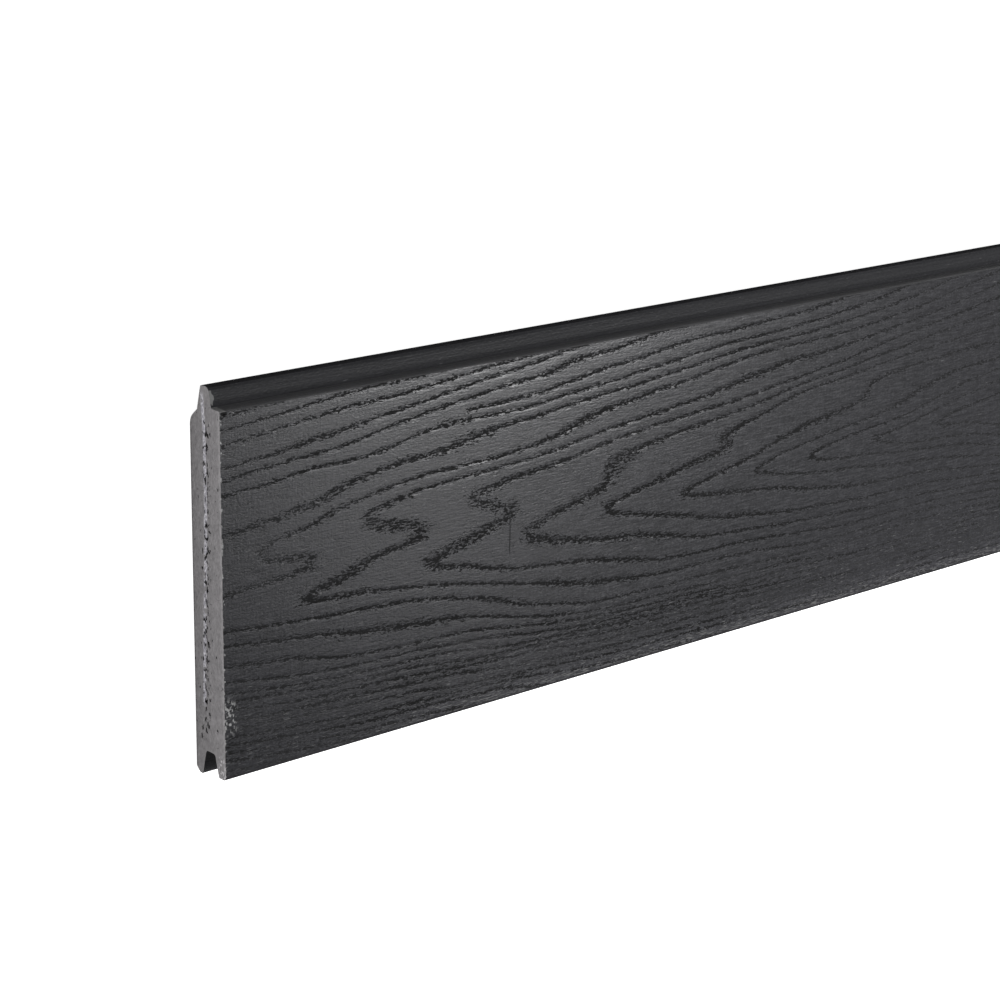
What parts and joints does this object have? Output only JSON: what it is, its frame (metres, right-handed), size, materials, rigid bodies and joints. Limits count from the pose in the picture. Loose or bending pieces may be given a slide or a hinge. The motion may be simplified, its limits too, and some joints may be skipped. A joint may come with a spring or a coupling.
{
  "type": "composite fence board",
  "caption": "Long flat fence board with an embossed wood-grain face, a tongue along one edge and a groove along the other, sawn square at both ends.",
  "frame": {"origin": "middle of the board's outline on its back face, which lies on the floor", "axes": "+X along the board, +Y across it towards the tongue, +Z from the back face to the embossed front face"},
  "size_m": [1.83, 0.1596, 0.02],
  "materials": {
    "composite": "charcoal wood-plastic composite with an embossed wood grain, dull with a soft sheen, and paler where it is sawn"
  },
  "bodies": {
    "root": {"fence_board": "composite"}
  },
  "joints": []
}
